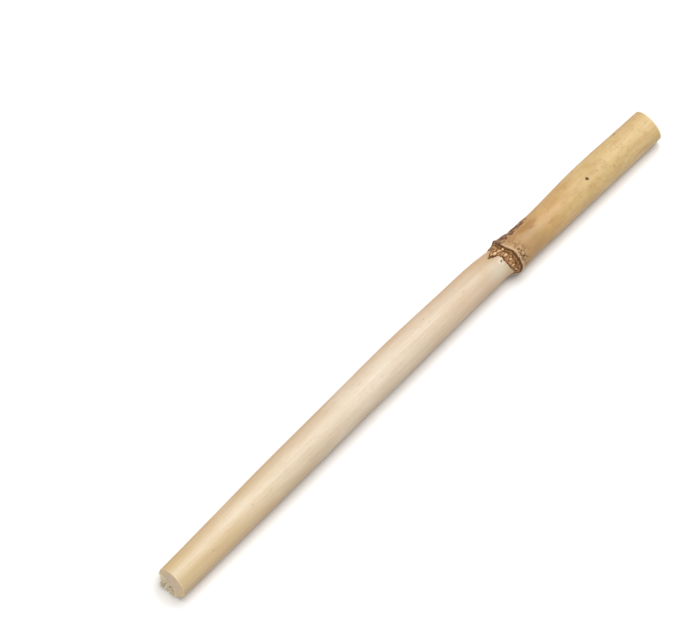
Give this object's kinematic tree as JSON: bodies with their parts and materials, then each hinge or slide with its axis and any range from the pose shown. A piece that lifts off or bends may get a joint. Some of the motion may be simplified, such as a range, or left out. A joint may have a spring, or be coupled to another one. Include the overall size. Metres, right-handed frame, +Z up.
{
  "type": "bamboo cane",
  "caption": "Cut length of dried bamboo cane lying on its side, with a scarred and budded node, a sawn root end and a torn tip end, for crafts, stakes or plant support.",
  "frame": {"origin": "middle of the cane's box in plan, on the surface that it lies on", "axes": "+X along the cane towards its root end, +Y sideways towards the outside of its bow, +Z up"},
  "size_m": [0.2532, 0.0152, 0.0139],
  "materials": {
    "bamboo": "satin natural cane skin"
  },
  "bodies": {
    "root": {"cane": "bamboo"}
  },
  "joints": []
}
